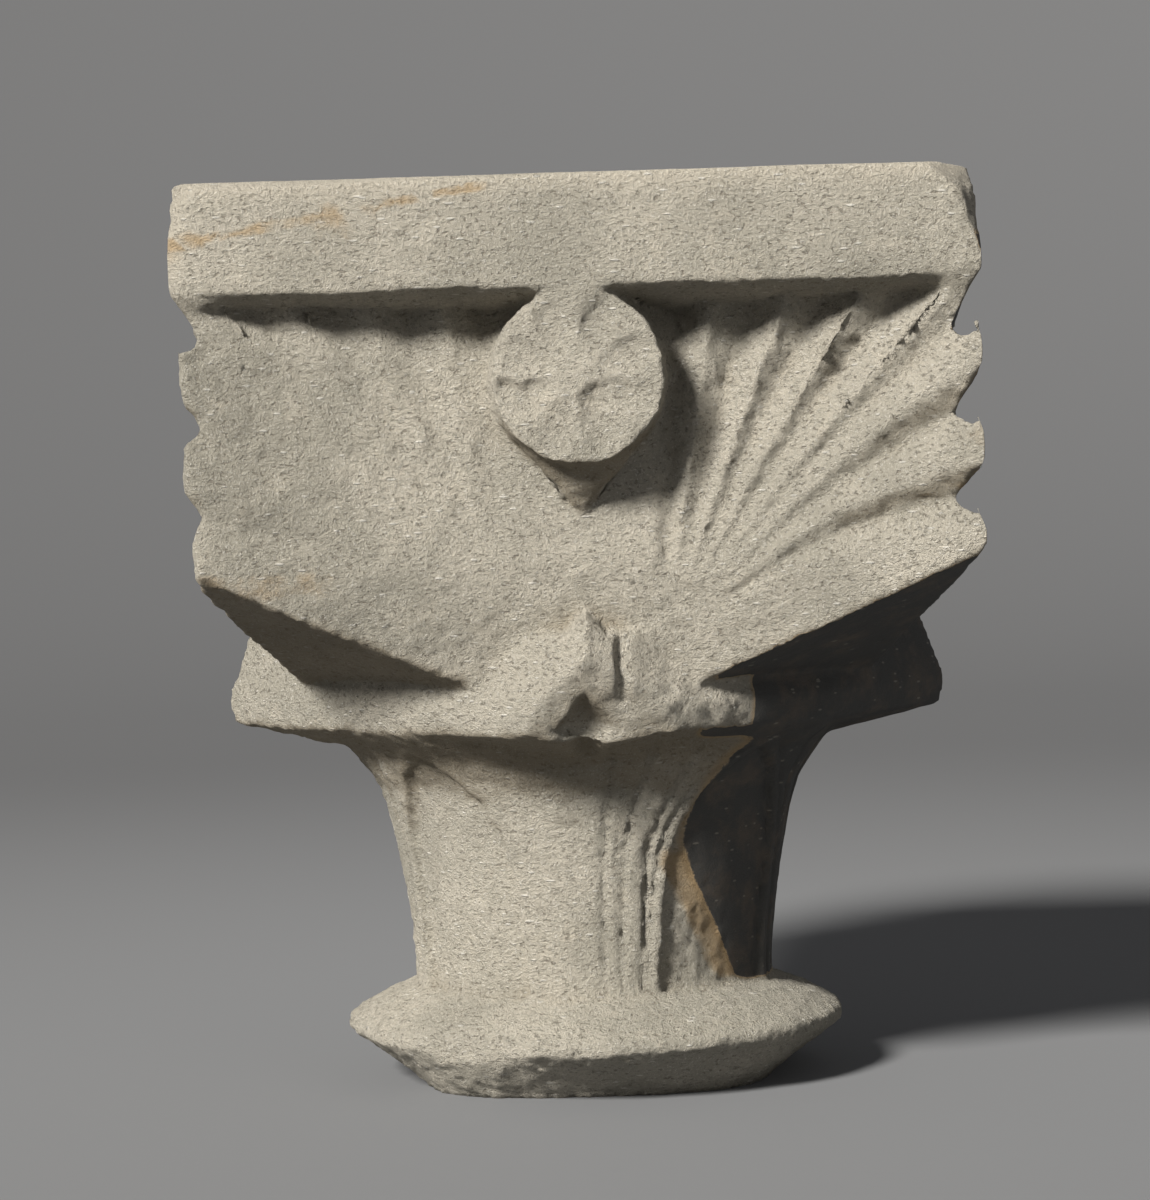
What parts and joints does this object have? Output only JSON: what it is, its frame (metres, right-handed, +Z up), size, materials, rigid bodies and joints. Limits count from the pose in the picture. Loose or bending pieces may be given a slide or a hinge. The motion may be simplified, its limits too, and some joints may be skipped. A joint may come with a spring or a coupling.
{
  "type": "sandstone capital",
  "caption": "Square carved stone capital: plain abacus, pleated corner fans, rosettes, a tier of keeled leaves, a bell neck with arched panels, and a foot ring.",
  "frame": {"origin": "centre of the lower bed, where the capital sits on its column shaft", "axes": "+Z up along the column's axis, -Y out of the worn main face with the eroded left fan, +X out of the crusted face"},
  "size_m": [0.286, 0.286, 0.34],
  "materials": {
    "stone": "rough weathered limestone, with a smooth dark crust on one side"
  },
  "bodies": {
    "root": {"capital": "stone"}
  },
  "joints": []
}
